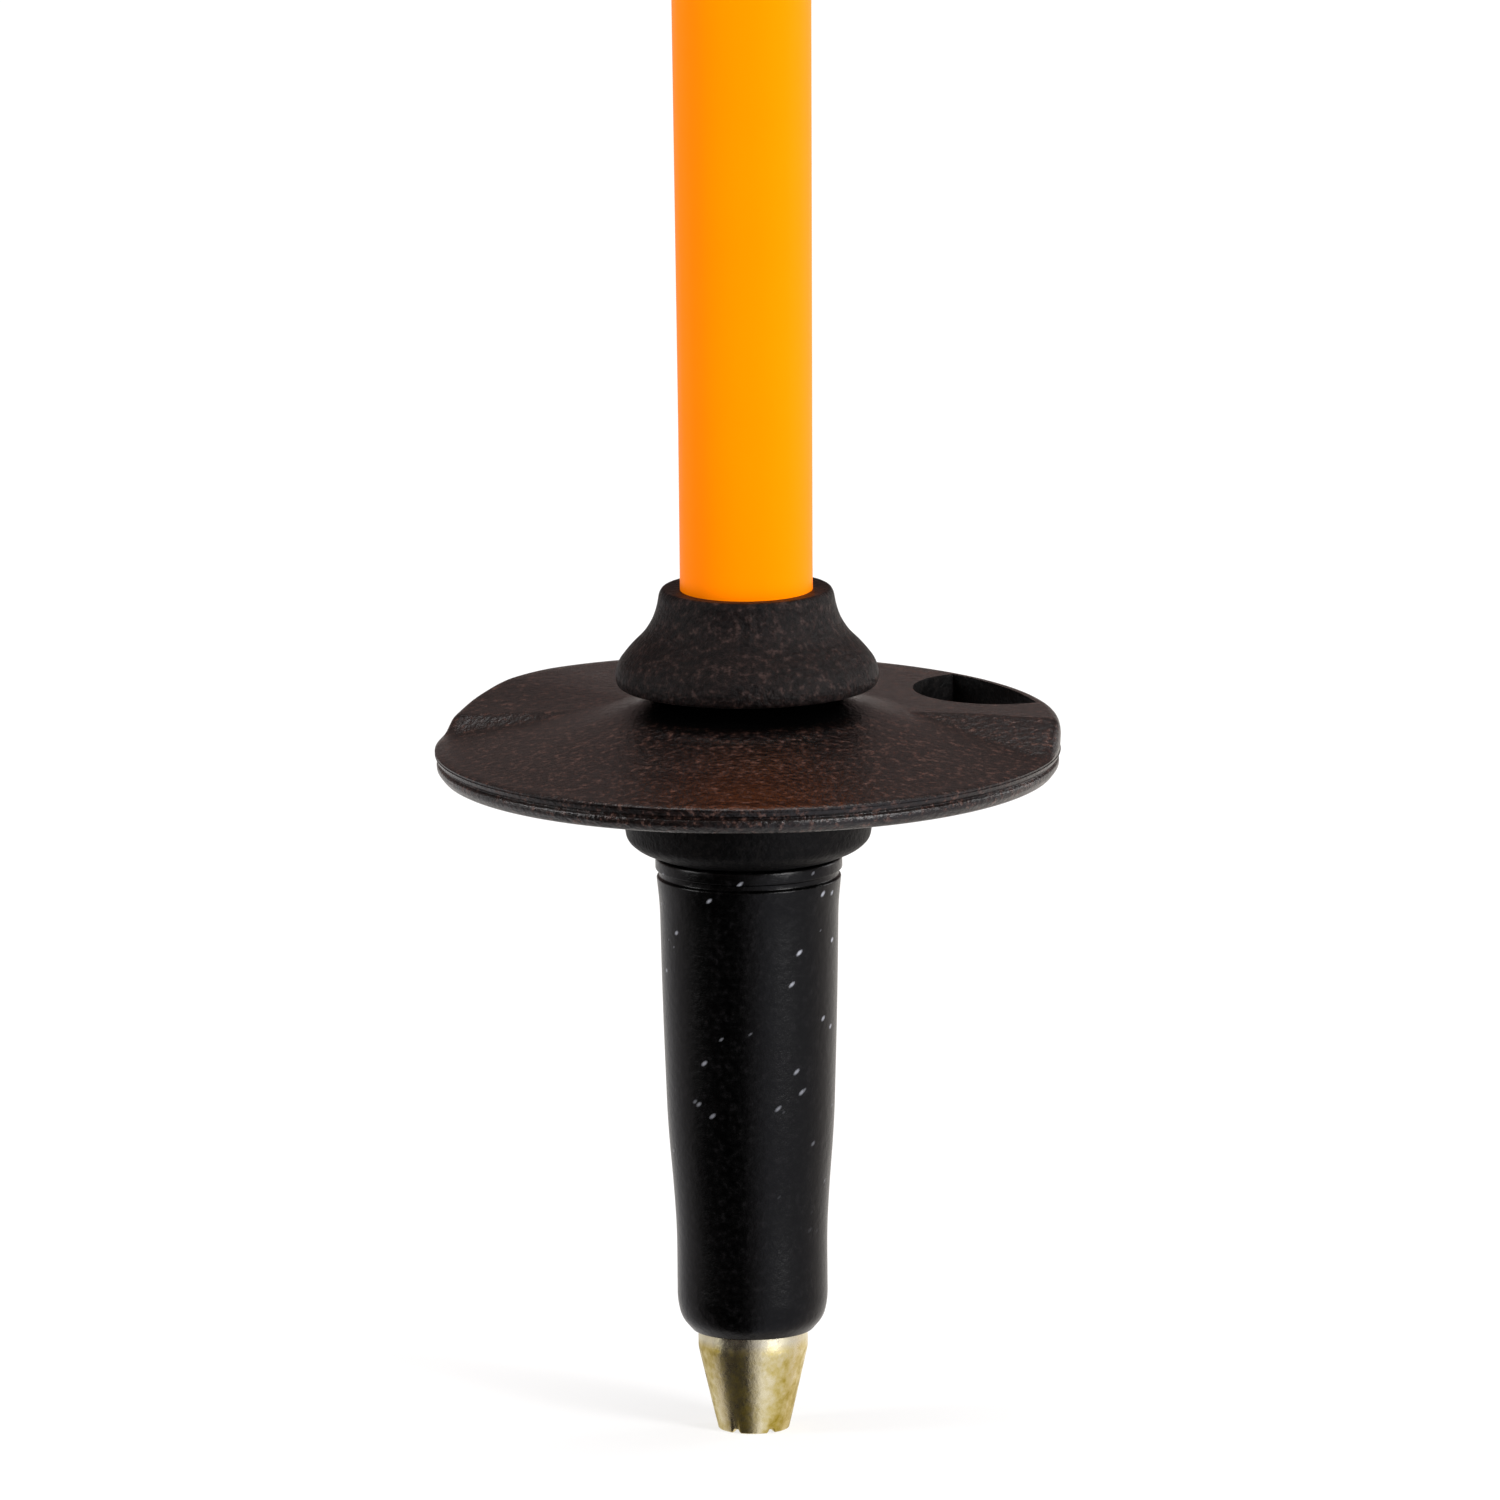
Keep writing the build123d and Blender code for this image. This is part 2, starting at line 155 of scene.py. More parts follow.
for name, (degrees, distance, height, width, tall, watts) in SOFT_BOXES.items():
    lamp = bpy.data.lights.new(name, "AREA")
    lamp.shape = "RECTANGLE"
    lamp.size = width
    lamp.size_y = tall
    lamp.energy = watts
    box = bpy.data.objects.new(name, lamp)
    side = math.radians(degrees)
    box.location = (math.sin(side) * distance, -math.cos(side) * distance, height)
    box.rotation_euler = (Vector((0, 0, LAMP_AIM_Z)) - box.location).to_track_quat("-Z", "Y").to_euler()
    bpy.context.scene.collection.objects.link(box)
overhead = bpy.data.lights.new("overhead", "AREA")
overhead.size = OVERHEAD_SIZE
overhead.energy = OVERHEAD_WATTS
overhead_box = bpy.data.objects.new("overhead", overhead)
overhead_box.location = (0, 0, OVERHEAD_Z)
bpy.context.scene.collection.objects.link(overhead_box)

# ---- floor
# Plain white table, far larger than the pole. It is lit from inside as well as from above,
# so the shadows on it stay faint, and glossy faces mirror the room instead of it.
FLOOR_HALF = 60.0
FLOOR_GLOW = 0.76


def new_material(name, **surface):
    """Returns a material and its Principled shader with the given socket values."""
    material = bpy.data.materials.new(name)
    material.use_nodes = True
    shader = material.node_tree.nodes["Principled BSDF"]
    for key, value in surface.items():
        shader.inputs[key.replace("_", " ")].default_value = value
    return material, shader


floor_mesh = bpy.data.meshes.new("floor")
floor_corners = [(x * FLOOR_HALF, y * FLOOR_HALF, 0) for x, y in ((-1, -1), (1, -1), (1, 1), (-1, 1))]
floor_mesh.from_pydata(floor_corners, [], [(0, 1, 2, 3)])
floor = bpy.data.objects.new("floor", floor_mesh)
bpy.context.scene.collection.objects.link(floor)
card, card_shader = new_material("white_light_table", Base_Color=linear("#8E8E8E"), Roughness=1.0)
card_shader.inputs["Specular IOR Level"].default_value = 0.0
card_shader.inputs["Emission Color"].default_value = WHITE
card_shader.inputs["Emission Strength"].default_value = FLOOR_GLOW
card.cycles.emission_sampling = "NONE"
floor_mesh.materials.append(card)
floor.visible_glossy = False

# ---- shaft
# Tapered aluminium tube, sprayed with a saturated orange lacquer. The lacquer is smooth and
# satin, with a slight orange peel and a little unevenness in its tone.


def noise(material, scale, detail, roughness=0.5):
    """Adds noise over the piece's own coordinates and returns its value."""
    place = add_node(material, "ShaderNodeTexCoord")
    texture = add_node(material, "ShaderNodeTexNoise", links={"Vector": place.outputs["Object"]},
                       Scale=scale, Detail=detail, Roughness=roughness)
    return texture.outputs["Fac"]


def tinted(material, shader, value, steps):
    """Colours a surface by a value, through a ramp of (place, hex colour) stops."""
    tone = add_node(material, "ShaderNodeValToRGB", links={"Fac": value})
    colour_steps(tone, steps)
    material.node_tree.links.new(tone.outputs["Color"], shader.inputs["Base Color"])


def embossed(material, shader, value, strength, depth):
    """Gives a surface fine relief by a value. The depth is in metres."""
    bump = add_node(material, "ShaderNodeBump", links={"Height": value}, Strength=strength,
                    Distance=depth)
    material.node_tree.links.new(bump.outputs["Normal"], shader.inputs["Normal"])


lacquer, lacquer_shader = new_material(
    "orange_lacquer", Base_Color=linear("#FF8000"), Roughness=0.42,
)
lacquer_shader.inputs["Specular IOR Level"].default_value = 0.05
lacquer_shader.inputs["Specular Tint"].default_value = linear("#FF8A00")
tinted(lacquer, lacquer_shader, noise(lacquer, 60.0, 2.0), [(0.3, "#FF7F00"), (0.7, "#FF8200")])
embossed(lacquer, lacquer_shader, noise(lacquer, 900.0, 2.0), 0.05, 0.0002)

# ---- point
# Turned steel cone with yellow zinc plating: pale brass, uneven and worn, with a hard
# metal insert in its hollow end. Six notches in the rim make it bite.
TIP_RIM_R = 3.2
TIP_BASE_R = 4.95
TIP_CONE_Z = 7.6
INSERT_R = 1.7
NOTCHES = 6
NOTCH_HALF = math.radians(7)
NOTCH_DEPTH = 0.35
NOTCH_FLANK = 0.4
NOTCH_TOP_Z = 1.2
INSERT_TOP_Z = 9.0
SLEEVE_FOOT_Z = 9.6
STEM_R = 2.6
STEM_TOP_Z = 24.0


def to_object(name, mesh, material, sharp_degrees=38):
    """Closes a piece: smooth faces, edges over the given angle sharp, normals outwards."""
    work = bmesh.new()
    work.from_mesh(mesh)
    bmesh.ops.recalc_face_normals(work, faces=work.faces)
    work.to_mesh(mesh)
    work.free()
    for face in mesh.polygons:
        face.use_smooth = True
    mesh.set_sharp_from_angle(angle=math.radians(sharp_degrees))
    mesh.materials.append(material)
    piece = bpy.data.objects.new(name, mesh)
    bpy.context.scene.collection.objects.link(piece)
    return piece


def soften(corners, steps=5):
    """Rounds an outline's corners: each is (r, z, radius) in mm, and radius 0 stays sharp."""
    points = []
    for number, (r, z, radius) in enumerate(corners):
        here = Vector((r, z))
        if radius == 0:
            points.append((r, z))
            continue
        before = Vector(corners[number - 1][:2])
        after = Vector(corners[(number + 1) % len(corners)][:2])
        reach = min(radius, (before - here).length * 0.45, (after - here).length * 0.45)
        first = here + (before - here).normalized() * reach
        last = here + (after - here).normalized() * reach
        for step in range(steps + 1):
            t = step / steps
            p = first * (1 - t) ** 2 + here * 2 * t * (1 - t) + last * t ** 2
            points.append((p.x, p.y))
    return points


def skin(name, rings):
    """Makes a closed mesh from rings of points in mm, the last ring joined to the first."""
    count = len(rings[0])
    vertices = [(x * MM, y * MM, z * MM) for ring in rings for x, y, z in ring]
    faces = []
    for turn in range(len(rings)):
        a, b = turn * count, (turn + 1) % len(rings) * count
        for step in range(count):
            nxt = (step + 1) % count
            faces.append((a + step, b + step, b + nxt, a + nxt))
    mesh = bpy.data.meshes.new(name)
    mesh.from_pydata(vertices, [], faces)
    work = bmesh.new()
    work.from_mesh(mesh)
    bmesh.ops.remove_doubles(work, verts=work.verts, dist=1e-7)
    bmesh.ops.dissolve_degenerate(work, edges=work.edges, dist=1e-8)
    work.to_mesh(mesh)
    work.free()
    return mesh


def turned(name, outline_at, turns):
    """Makes a mesh from one closed (r, z) outline per angle round the pole's axis."""
    rings = []
    for turn in range(turns):
        angle = 2 * math.pi * turn / turns
        rings.append([(r * math.cos(angle), r * math.sin(angle), z) for r, z in outline_at(angle)])
    return skin(name, rings)


plating, plating_shader = new_material("yellow_zinc_plating", Metallic=1.0, Roughness=0.34)
place = add_node(plating, "ShaderNodeTexCoord")
stretch = add_node(plating, "ShaderNodeMapping", links={"Vector": place.outputs["Object"]},
                   Scale=(1.0, 1.0, 0.16), Location=(0.0035, 0.001, 0.0))
streaks = add_node(plating, "ShaderNodeTexNoise", links={"Vector": stretch.outputs["Vector"]},
                   Scale=330.0, Detail=3.0, Roughness=0.5)
specks = noise(plating, 1100.0, 5.0, 0.65)
wear = add_node(plating, "ShaderNodeMix", links={"Factor": 0.36, "A": streaks.outputs["Fac"],
                                                 "B": specks})
tone = add_node(plating, "ShaderNodeValToRGB", links={"Fac": wear.outputs["Result"]})
colour_steps(tone, [(0.36, "#6E5C10"), (0.43, "#B09A3E"), (0.51, "#D2C07A"), (0.62, "#ECE0B4")])
height = add_node(plating, "ShaderNodeSeparateXYZ", links={"Vector": place.outputs["Object"]})
# Painted highlight: the plating turns cream on the shoulder just under the ferrule's mouth.
painted_shoulder_highlight = add_node(plating, "ShaderNodeMapRange", links={"Value": height.outputs["Z"]},
                    From_Min=(TIP_CONE_Z + 0.3) * MM, From_Max=(TIP_CONE_Z + 1.0) * MM, To_Max=0.75)
tone_with_painted_highlight = mix_colours(plating, painted_shoulder_highlight.outputs["Result"], tone.outputs["Color"], linear("#E4DFC8"))
plating.node_tree.links.new(tone_with_painted_highlight, plating_shader.inputs["Base Color"])
dull = add_node(plating, "ShaderNodeMapRange", links={"Value": wear.outputs["Result"]},
                From_Min=0.35, From_Max=0.65, To_Min=0.5, To_Max=0.2)
plating.node_tree.links.new(dull.outputs["Result"], plating_shader.inputs["Roughness"])
embossed(plating, plating_shader, specks, 0.3, 0.00015)

tip_outline = soften([
    (0.0, INSERT_TOP_Z, 0), (INSERT_R, INSERT_TOP_Z, 0), (INSERT_R, 0.6, 0.1),
    (TIP_RIM_R - 0.5, 0.12, 0.15), (TIP_RIM_R, 0.0, 0.18), (3.5, 1.3, 0), (3.66, 2.0, 0),
    (TIP_BASE_R, TIP_CONE_Z, 0.3), (TIP_BASE_R, SLEEVE_FOOT_Z, 0), (STEM_R, SLEEVE_FOOT_Z, 0),
    (STEM_R, STEM_TOP_Z, 0), (0.0, STEM_TOP_Z, 0),
])


def tip_ring(angle):
    """The point's outline, lifted at its foot inside a notch."""
    pitch = 2 * math.pi / NOTCHES
    off = abs((angle + pitch / 2) % pitch - pitch / 2)
    inside = max(0.0, min(1.0, (NOTCH_HALF - off) / (NOTCH_HALF * NOTCH_FLANK)))
    return [(r, z + inside * NOTCH_DEPTH * max(0.0, 1 - z / NOTCH_TOP_Z)) for r, z in tip_outline]


tip = to_object("point", turned("point", tip_ring, 180), plating)
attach(tip, "pole")
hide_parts("tip_point")

carbide, carbide_shader = new_material(
    "sintered_carbide", Base_Color=linear("#5D5E5F"), Metallic=1.0, Roughness=0.4,
)
embossed(carbide, carbide_shader, noise(carbide, 2500.0, 3.0), 0.4, 0.0001)

# ---- ferrule
# Long injection-moulded nylon sleeve, black and fairly glossy, scuffed by rock and crust:
# the scuffs are short pale marks, mostly on the upper half.
FOOT_R = 6.8
SCUFF_CELL = 1.1
SCUFFS_FROM_Z = 18.0
SCUFFS_FULL_Z = 46.0
SCUFF_RARITY = 0.6
nylon, nylon_shader = new_material("moulded_nylon", Base_Color=linear("#020203"), Roughness=0.27)
nylon_shader.inputs["Specular IOR Level"].default_value = 0.17
place = add_node(nylon, "ShaderNodeTexCoord")
grain = noise(nylon, 1500.0, 4.0, 0.65)
embossed(nylon, nylon_shader, grain, 0.24, 0.0002)
tilt = add_node(nylon, "ShaderNodeMapping", {"vector_type": "TEXTURE"},
                {"Vector": place.outputs["Object"]}, Rotation=(0.0, -0.7, 0.0),
                Scale=(2.4, 1.6, 1.0), Location=(0.0013, 0.0, 0.0007))
chips = add_node(nylon, "ShaderNodeTexVoronoi", links={"Vector": tilt.outputs["Vector"]},
                 Scale=1 / (SCUFF_CELL * MM))
chance = add_node(nylon, "ShaderNodeSeparateColor", links={"Color": chips.outputs["Color"]})
spot = add_node(nylon, "ShaderNodeMapRange", links={"Value": chips.outputs["Distance"]},
                From_Min=0.07, From_Max=0.19, To_Min=1.0, To_Max=0.0)
few = add_node(nylon, "ShaderNodeMath", {"operation": "GREATER_THAN"},
               {0: chance.outputs["Red"], 1: SCUFF_RARITY})
heights = add_node(nylon, "ShaderNodeSeparateXYZ", links={"Vector": place.outputs["Object"]})
upper = add_node(nylon, "ShaderNodeMapRange", links={"Value": heights.outputs["Z"]},
                 From_Min=SCUFFS_FROM_Z * MM, From_Max=SCUFFS_FULL_Z * MM)
shown = add_node(nylon, "ShaderNodeMath", {"operation": "MULTIPLY"},
                 {0: spot.outputs["Result"], 1: few.outputs["Value"]})
scuffs = add_node(nylon, "ShaderNodeMath", {"operation": "MULTIPLY"},
                  {0: shown.outputs["Value"], 1: upper.outputs["Result"]})
base = add_node(nylon, "ShaderNodeValToRGB", links={"Fac": grain})
colour_steps(base, [(0.42, "#000000"), (0.56, "#030303"), (0.68, "#0C0B0C")])
mark = mix_colours(nylon, scuffs.outputs["Value"], base.outputs["Color"], linear("#8E9098"))
nylon.node_tree.links.new(mark, nylon_shader.inputs["Base Color"])

ferrule_outline = soften([
    (4.95, 9.2, 0), (5.4, 9.2, 0.3), (6.45, 10.4, 0.8), (FOOT_R, 12.0, 0.8), (FOOT_R, 18.5, 2),
    (7.06, 22.7, 2), (7.53, 28.2, 3), (7.9, 39.3, 4), (8.08, 48.5, 2), (8.35, 51.1, 0.12),
    (8.1, 51.25, 0.08), (8.1, 51.7, 0.08), (8.45, 51.85, 0.12), (8.45, 53.0, 0.3),
    (7.3, 53.0, 0), (7.3, 72.0, 0.2), (6.0, 72.0, 0), (6.0, 30.0, 0), (2.6, 30.0, 0), (2.6, 9.6, 0),
    (4.95, 9.6, 0),
])
ferrule = to_object("ferrule_sleeve", turned("ferrule_sleeve", lambda angle: ferrule_outline, 180), nylon)
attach(ferrule, "pole")
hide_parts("ferrule")

# ---- basket
# One moulding in tough flexible plastic: a sloping disc with a raised panel on its rear
# half, a through hole inside its rim, a hub with a saucer foot, and ribs underneath.
BASKET_R = 28.3
RIM_Z = 62.66
PANEL_Z = 65.85
PANEL_SLOPE = 0.0175
PANEL_START = 13.0
START_HALF = 2.2
RAMP_START = 140.0
RAMP_FALL = math.tan(math.radians(10.5))
RAMP_SOFT = 3.0
PANEL_END = 163.0
SAG_SHARE = 0.25
SAG_TURNS = (PANEL_END - 34.0, PANEL_END - 1.0)
END_TURNS = (PANEL_END - 1.5, PANEL_END + 5.5)
FOLD_FOOT = Vector((10.9, 4.8))
FOLD_SQUARE = Vector((0.631, 0.776))
FOLD_RISE = 0.4
FOLD_SOFT = 0.2
SHOULDER_Z = 53.15
HOLE_CENTRE = (22.4, 13.1)
HOLE_R = 7.4
RIM_INNER_R = 27.0
CONE = [
    # (radius, height) of the plain front half's top
    (8.2, 68.5), (9.2, 67.6), (10.3, 67.0), (11.6, 66.5), (13.5, 65.9), (20.0, 64.35), (26.8, 63.1),
    (28.3, 62.7),
]
ROUNDING_R = 26.6
BOSS_FILLET = (10.5, 13.5)
RIBS = 8
RIB_DEPTH = 1.1
RIB_TURN = math.radians(5)
RIB_THINNESS = 24
UNDER_R = 12.0
UNDER_WIDTH = 13.4
UNDER_Z = 61.9
UNDER_SLOPE = 0.075
CUT_FROM_Z = 55.0
CUT_TO_Z = 72.0


def basket_plastic(name, shaded_gap_r, low, middle, high, roughness, specular, relief):
    """Flexible moulded plastic, leathery at the scale of half a millimetre, with painted shade: nearly
    black inside the given radius round the axis.
    """
    plastic, shader = new_material(name, Roughness=roughness)
    shader.inputs["Specular IOR Level"].default_value = specular
    place = add_node(plastic, "ShaderNodeTexCoord")
    mottle = noise(plastic, 1500.0, 6.0, 0.7)
    tone = add_node(plastic, "ShaderNodeValToRGB", links={"Fac": mottle})
    colour_steps(tone, [(0.4, low), (0.54, middle), (0.68, high)])
    flat = add_node(plastic, "ShaderNodeMapping", links={"Vector": place.outputs["Object"]},
                    Scale=(1.0, 1.0, 0.0))
    radius = add_node(plastic, "ShaderNodeVectorMath", {"operation": "LENGTH"},
                      {0: flat.outputs["Vector"]})
    # Painted shade: inside the gap's radius the colour goes nearly black, where the collar's skirt shades
    # the disc. The mottled tone lies outside it.
    outside_painted_shade = add_node(plastic, "ShaderNodeMapRange", links={"Value": radius.outputs["Value"]},
                         From_Min=(shaded_gap_r - 1.0) * MM, From_Max=(shaded_gap_r + 1.0) * MM)
    tone_with_painted_shade = mix_colours(plastic, outside_painted_shade.outputs["Result"], linear("#010101"), tone.outputs["Color"])
    plastic.node_tree.links.new(tone_with_painted_shade, shader.inputs["Base Color"])
    dull = add_node(plastic, "ShaderNodeMapRange", links={"Value": radius.outputs["Value"]},
                    From_Min=(shaded_gap_r - 2.6) * MM, From_Max=(shaded_gap_r - 1.2) * MM, To_Min=0.15,
                    To_Max=roughness)
    plastic.node_tree.links.new(dull.outputs["Result"], shader.inputs["Roughness"])
    embossed(plastic, shader, noise(plastic, 1900.0, 4.0, 0.6), relief, 0.0003)
    return plastic


# The disc's plastic, with painted shade nearly black in the gap under the collar's skirt.
rubbery = basket_plastic("moulded_flexible_plastic", 11.8, "#020101", "#130907", "#4C362F",
                         0.27, 0.45, 0.5)
# A darker, duller copy of the disc's plastic for the underside, the hub and the hole's walls: painted
# shade, as the real disc is one moulding.
matt_painted_shade_underside = basket_plastic("spark_eroded_underside", 5.0, "#020202", "#060505", "#12100F",
                                0.5, 0.1, 0.5)


def smooth(low, high, value):
    """A soft step from 0 at low to 1 at high."""
    t = max(0.0, min(1.0, (value - low) / (high - low)))
    return t * t * (3 - 2 * t)


def cone_height(r):
    """Height of the plain front half at this radius."""
    for (r0, z0), (r1, z1) in zip(CONE, CONE[1:]):
        if r <= r1:
            return z0 + (z1 - z0) * max(0.0, (r - r0) / (r1 - r0))
    return CONE[-1][1]


def disc_height(r, angle):
    """Height of the disc's top: the cone, the raised panel and the fold up to it."""
    turn = (math.degrees(angle) + 90) % 360 - 90
    spot = Vector((r * math.cos(angle), r * math.sin(angle)))
    low = cone_height(r)
    panel = PANEL_Z - PANEL_SLOPE * spot.x
    if turn > RAMP_START:
        past_ramp = r * math.sin(angle - math.radians(RAMP_START))
        panel -= RAMP_FALL * (math.hypot(past_ramp, RAMP_SOFT) - RAMP_SOFT)
    raised = smooth(PANEL_START - START_HALF, PANEL_START + START_HALF, turn)
    raised *= 1 - SAG_SHARE * smooth(*SAG_TURNS, turn)
    raised *= 1 - smooth(*END_TURNS, turn)
    height = low + max(0.0, panel - low) * raised * smooth(*BOSS_FILLET, r)
    if turn < 90:
        past_fold = max(0.0, (spot - FOLD_FOOT).dot(FOLD_SQUARE))
        fold = FOLD_RISE * (math.hypot(past_fold, FOLD_SOFT) - FOLD_SOFT)
        height = max(height, min(panel, low + fold))
    return height


def basket_ring(angle):
    """The basket's outline at this angle, from the bore round the underside to the top."""
    foot = soften([
        (7.35, 70.5, 0), (7.35, SHOULDER_Z, 0.1), (8.5, SHOULDER_Z, 0.3), (10.1, 53.8, 0.9),
        (11.0, 54.6, 0.5), (11.4, 57.0, 0.8), (11.4, 61.6, 0.4),
    ])
    rib = max(math.cos(RIBS * (angle - RIB_TURN)), 0.0) ** RIB_THINNESS
    under = []
    for step in range(14):
        r = UNDER_R + UNDER_WIDTH * step / 13
        z = UNDER_Z - UNDER_SLOPE * (r - UNDER_R)
        deep = RIB_DEPTH * rib * smooth(UNDER_R, 13.0, r) * (1 - smooth(23.5, 25.4, r))
        under.append((r, z - deep))
    rim = soften([
        (25.9, 60.5, 0.2), (27.5, 60.5, 0.35), (28.1, 61.3, 0.25), (28.1, 61.75, 0.1),
        (27.8, 61.98, 0.12), (28.1, 62.2, 0.15), (BASKET_R, RIM_Z, 0.15),
    ], 3)
    top = disc_height(ROUNDING_R, angle)
    fat = smooth(0.8, 2.6, top - RIM_Z)
    for step in range(1, 8):
        part = step / 8 * math.pi / 2
        power = 1.0 - 0.55 * fat
        r = ROUNDING_R + (BASKET_R - ROUNDING_R) * math.cos(part) ** power
        rim.append((r, RIM_Z + 0.1 + (top - RIM_Z - 0.1) * math.sin(part) ** power))
    upper = []
    for step in range(40):
        r = ROUNDING_R - (ROUNDING_R - 8.4) * step / 39
        upper.append((r, disc_height(r, angle)))
    boss = soften([(8.2, 68.5, 0.2), (8.2, 70.5, 0.2)])
    return foot + under + rim + upper + boss


basket_mesh = turned("snow_basket", basket_ring, 540)
basket = to_object("snow_basket", basket_mesh, rubbery)
cutter_outline = []
for step in range(96):
    turn = 2 * math.pi * step / 96
    x = HOLE_CENTRE[0] + HOLE_R * math.cos(turn)
    y = HOLE_CENTRE[1] + HOLE_R * math.sin(turn)
    pull = min(1.0, RIM_INNER_R / math.hypot(x, y))
    cutter_outline.append((x * pull * MM, y * pull * MM))
cutter_mesh = bpy.data.meshes.new("hole_cutter")
count = len(cutter_outline)
cutter_mesh.from_pydata(
    [(x, y, z) for z in (CUT_FROM_Z * MM, CUT_TO_Z * MM) for x, y in cutter_outline], [],
    [tuple(range(count))[::-1], tuple(range(count, 2 * count))]
    + [(i, (i + 1) % count, count + (i + 1) % count, count + i) for i in range(count)],
)
cutter = bpy.data.objects.new("hole_cutter", cutter_mesh)
bpy.context.scene.collection.objects.link(cutter)
drill = basket.modifiers.new("hole", "BOOLEAN")
drill.operation = "DIFFERENCE"
drill.solver = "EXACT"
drill.object = cutter
drilled = bpy.data.meshes.new_from_object(basket.evaluated_get(bpy.context.evaluated_depsgraph_get()))
basket.modifiers.clear()
basket.data = drilled
drilled.set_sharp_from_angle(angle=math.radians(38))
bpy.data.objects.remove(cutter)
# Faces under the disc and on the hole's walls take the darker copy: painted shade.
drilled.materials.append(matt_painted_shade_underside)
for face in drilled.polygons:
    from_hole = math.hypot(face.center.x / MM - HOLE_CENTRE[0], face.center.y / MM - HOLE_CENTRE[1])
    below = face.center.z < 62.4 * MM and math.hypot(face.center.x, face.center.y) < 26.5 * MM
    in_hole = from_hole < HOLE_R + 0.05 and abs(face.normal.z) < 0.5
    face.material_index = 1 if below or in_hole else 0
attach(basket, "basket")
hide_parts("basket")

# ---- collar
# Flared sleeve of the same plastic, pressed over the shaft to trap the basket: a skirt, a
# waist and a thick top ring with a flat ledge round the tube.
collar_outline = soften([
    (10.6, 68.7, 0.2), (11.7, 68.7, 0.35), (11.95, 69.6, 0.6), (11.65, 70.8, 0.6), (10.56, 72.2, 1),
    (9.3, 73.4, 1.2), (8.5, 74.7, 1.0), (8.1, 75.9, 0.7), (7.9, 77.1, 0.4), (7.6, 77.6, 0.3),
    (6.0, 77.45, 0), (6.0, 72.0, 0), (7.3, 72.0, 0), (7.3, 70.65, 0), (10.6, 70.65, 0.2),
])
sleeve_plastic = basket_plastic("moulded_matt_plastic", 5.0, "#040202", "#120B0A", "#352825",
                                0.48, 0.1, 0.9)
collar_mesh = turned("flared_collar", lambda angle: collar_outline, 180)
collar = to_object("flared_collar", collar_mesh, sleeve_plastic)
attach(collar, "pole")
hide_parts("basket_collar")

# ---- grip sleeve
# Soft rubber moulded over the hard liner: a flared rest for the heel of the hand, shallow
# waves for the fingers in front, and rows of small raised pads round the sides and back.
GRIP_FOOT_Z = 1066.0
HEAD_FOOT_Z = 1156.0
LINER_R = 11.2
EDGE_R = 1.4
PAD_PITCH = 4.3
PAD_ROWS = 15
PAD_COLUMNS = 15
PAD_FIRST_Z = 1088.0
PAD_FIRST_TURN = math.radians(64)

rubber, rubber_shader = new_material("soft_grip_rubber", Base_Color=linear("#161617"), Roughness=0.72)
rubber_shader.inputs["Specular IOR Level"].default_value = 0.35
tinted(rubber, rubber_shader, noise(rubber, 140.0, 4.0), [(0.35, "#121213"), (0.7, "#202022")])
embossed(rubber, rubber_shader, noise(rubber, 1700.0, 3.0), 0.35, 0.0002)


def sleeve_point(angle, z, inset=0.0):
    """A point on the sleeve's outside at this angle and height, moved inwards by the inset."""
    rest = 5.0 * math.exp(-(((z - 1070) / 9) ** 2))
    wave = 1.4 * math.cos(2 * math.pi * (z - 1097) / 22)
    x = 1 + wave / 2 + (15.8 + rest + wave / 2 - inset) * math.cos(angle)
    return Vector((x, (13.8 + 0.7 * rest - inset) * math.sin(angle), z))


def sleeve_ring(angle):
    """The sleeve's outline at this angle: bore, rounded foot, outside, rounded top."""
    bore = Vector((LINER_R * math.cos(angle), LINER_R * math.sin(angle)))
    ring = [(*bore, GRIP_FOOT_Z)]
    for step in range(6):
        part = step / 5 * math.pi / 2
        ring.append(sleeve_point(angle, GRIP_FOOT_Z + EDGE_R * (1 - math.cos(part)),
                                 EDGE_R * (1 - math.sin(part))))
    rise = HEAD_FOOT_Z - GRIP_FOOT_Z - 2 * EDGE_R
    for step in range(1, 110):
        ring.append(sleeve_point(angle, GRIP_FOOT_Z + EDGE_R + rise * step / 110))
    for step in range(6):
        part = step / 5 * math.pi / 2
        ring.append(sleeve_point(angle, HEAD_FOOT_Z - EDGE_R * (1 - math.sin(part)),
                                 EDGE_R * (1 - math.cos(part))))
    ring.append((*bore, HEAD_FOOT_Z))
    return ring


def node_group(name, **inputs):
    """A Geometry Nodes tree with one named number input for each size given, in metres."""
    tree = bpy.data.node_groups.new(name, "GeometryNodeTree")
    tree.interface.new_socket("Geometry", in_out="INPUT", socket_type="NodeSocketGeometry")
    tree.interface.new_socket("Geometry", in_out="OUTPUT", socket_type="NodeSocketGeometry")
    for key in inputs:
        tree.interface.new_socket(key.replace("_", " "), in_out="INPUT", socket_type="NodeSocketFloat")
    return tree, tree.nodes.new("NodeGroupInput"), tree.nodes.new("NodeGroupOutput")


def grown(name, mesh, tree, **sizes):
    """Runs a Geometry Nodes tree on a mesh with these sizes and returns the plain result."""
    seed = bpy.data.objects.new(name, mesh)
    bpy.context.scene.collection.objects.link(seed)
    step = seed.modifiers.new(tree.name, "NODES")
    step.node_group = tree
    for socket in tree.interface.items_tree:
        if socket.in_out == "INPUT" and socket.name.replace(" ", "_") in sizes:
            step[socket.identifier] = sizes[socket.name.replace(" ", "_")]
    result = bpy.data.meshes.new_from_object(seed.evaluated_get(bpy.context.evaluated_depsgraph_get()))
    bpy.data.objects.remove(seed)
    return result


